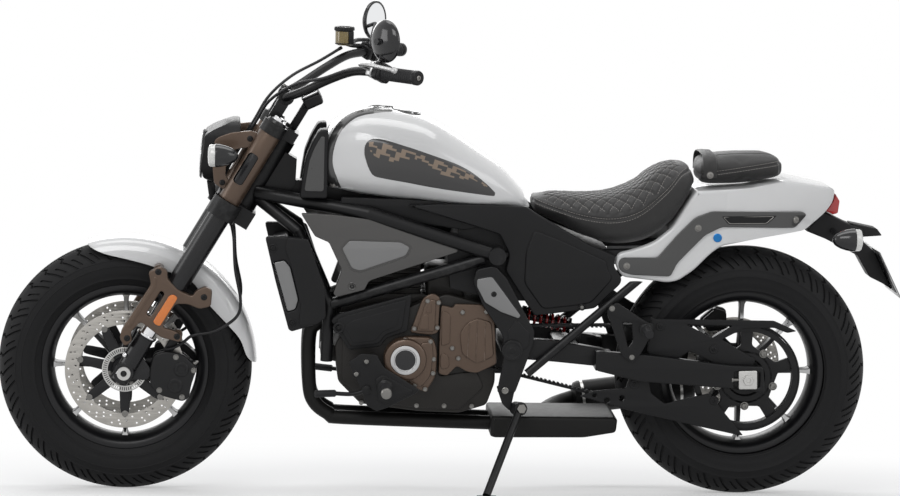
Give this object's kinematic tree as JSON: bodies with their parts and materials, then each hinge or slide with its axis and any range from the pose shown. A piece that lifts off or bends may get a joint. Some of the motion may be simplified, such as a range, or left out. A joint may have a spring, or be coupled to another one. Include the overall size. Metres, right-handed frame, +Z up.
{
  "type": "cruiser motorcycle",
  "caption": "Low cruiser motorcycle parked on its side stand, with turning wheels, steering and a folding side stand",
  "frame": {"origin": "on the ground, under the middle of the parked machine's box", "axes": "+X forward along the wheelbase, +Y to the rider's left, +Z up; the machine leans 9 degrees towards +Y"},
  "size_m": [2.29, 0.8766, 1.2722],
  "materials": {
    "rubber": "matt black rubber",
    "wheel_black": "satin black wheel paint",
    "disc_steel": "ground steel",
    "axle_steel": "machined steel",
    "satin_black": "satin black paint",
    "bronze": "satin bronze paint",
    "engine_black": "black engine paint",
    "exhaust_black": "heat-proof matt black",
    "caliper_black": "black anodised",
    "pearl_white": "pearl white lacquer",
    "trim_grey": "satin metallic grey",
    "black_plastic": "fine-grained black plastic",
    "hose_black": "smooth rubber",
    "seat_leather": "grained black leather",
    "red_lens": "glossy red lens",
    "clear_lens": "clear lens",
    "amber_lens": "glossy amber lens",
    "chrome": "polished chrome",
    "mirror_glass": "mirror glass"
  },
  "bodies": {
    "chassis": {"rear_axle": "axle_steel", "rear_caliper": "caliper_black", "swingarm": "satin_black", "rear_shock": "engine_black", "drive_belt": "rubber", "belt_guards": "black_plastic", "main_frame": "satin_black", "down_tubes": "satin_black", "side_tubes": "satin_black", "pivot_plates": "satin_black", "subframe": "satin_black", "engine_block": "engine_black", "engine_covers": "bronze", "head_covers": "engine_black", "radiator": "engine_black", "radiator_shrouds": "black_plastic", "exhaust": "exhaust_black", "fuel_tank": "pearl_white", "tank_trims": "trim_grey", "frame_covers": "trim_grey", "side_panels": "black_plastic", "battery_box": "black_plastic", "rider_seat": "seat_leather", "passenger_seat": "seat_leather", "tail": "pearl_white", "tail_trims": "trim_grey", "tail_light": "red_lens", "plate_hanger": "black_plastic", "rear_signals": "black_plastic", "foot_controls": "caliper_black"},
    "steering": {"front_axle": "axle_steel", "fork_legs": "satin_black", "fork_covers": "bronze", "fork_clamps": "satin_black", "front_calipers": "caliper_black", "front_fender": "pearl_white", "headlight": "black_plastic", "front_signals": "black_plastic", "handlebar": "satin_black", "grips": "rubber", "bar_controls": "caliper_black", "mirrors": "satin_black", "instrument": "black_plastic", "hoses": "hose_black"},
    "front_wheel": {"front_tyre": "rubber", "front_rim": "wheel_black", "front_discs": "disc_steel"},
    "rear_wheel": {"rear_tyre": "rubber", "rear_rim": "wheel_black", "rear_pulley": "satin_black", "rear_disc": "disc_steel"},
    "side_stand_leg": {"side_stand": "satin_black"}
  },
  "joints": [
    {"name": "steering_turn", "type": "hinge", "parent": "chassis", "child": "steering", "pos_m": [0.48601, -0.04719, 0.80748], "axis": [-0.5075, 0.1348, 0.851], "range_deg": [-35, 35]},
    {"name": "front_wheel_spin", "type": "hinge", "parent": "steering", "child": "front_wheel", "pos_m": [0.825, -0.12489, 0.31692], "axis": [0, 0.9877, -0.1564], "continuous": true},
    {"name": "rear_wheel_spin", "type": "hinge", "parent": "chassis", "child": "rear_wheel", "pos_m": [-0.749, -0.12442, 0.31988], "axis": [0, 0.9877, -0.1564], "continuous": true},
    {"name": "side_stand_fold", "type": "hinge", "parent": "chassis", "child": "side_stand_leg", "pos_m": [-0.169, -0.00688, 0.21824], "axis": [-0.3117, 0.9501, -0.0104], "range_deg": [0, 114]}
  ]
}
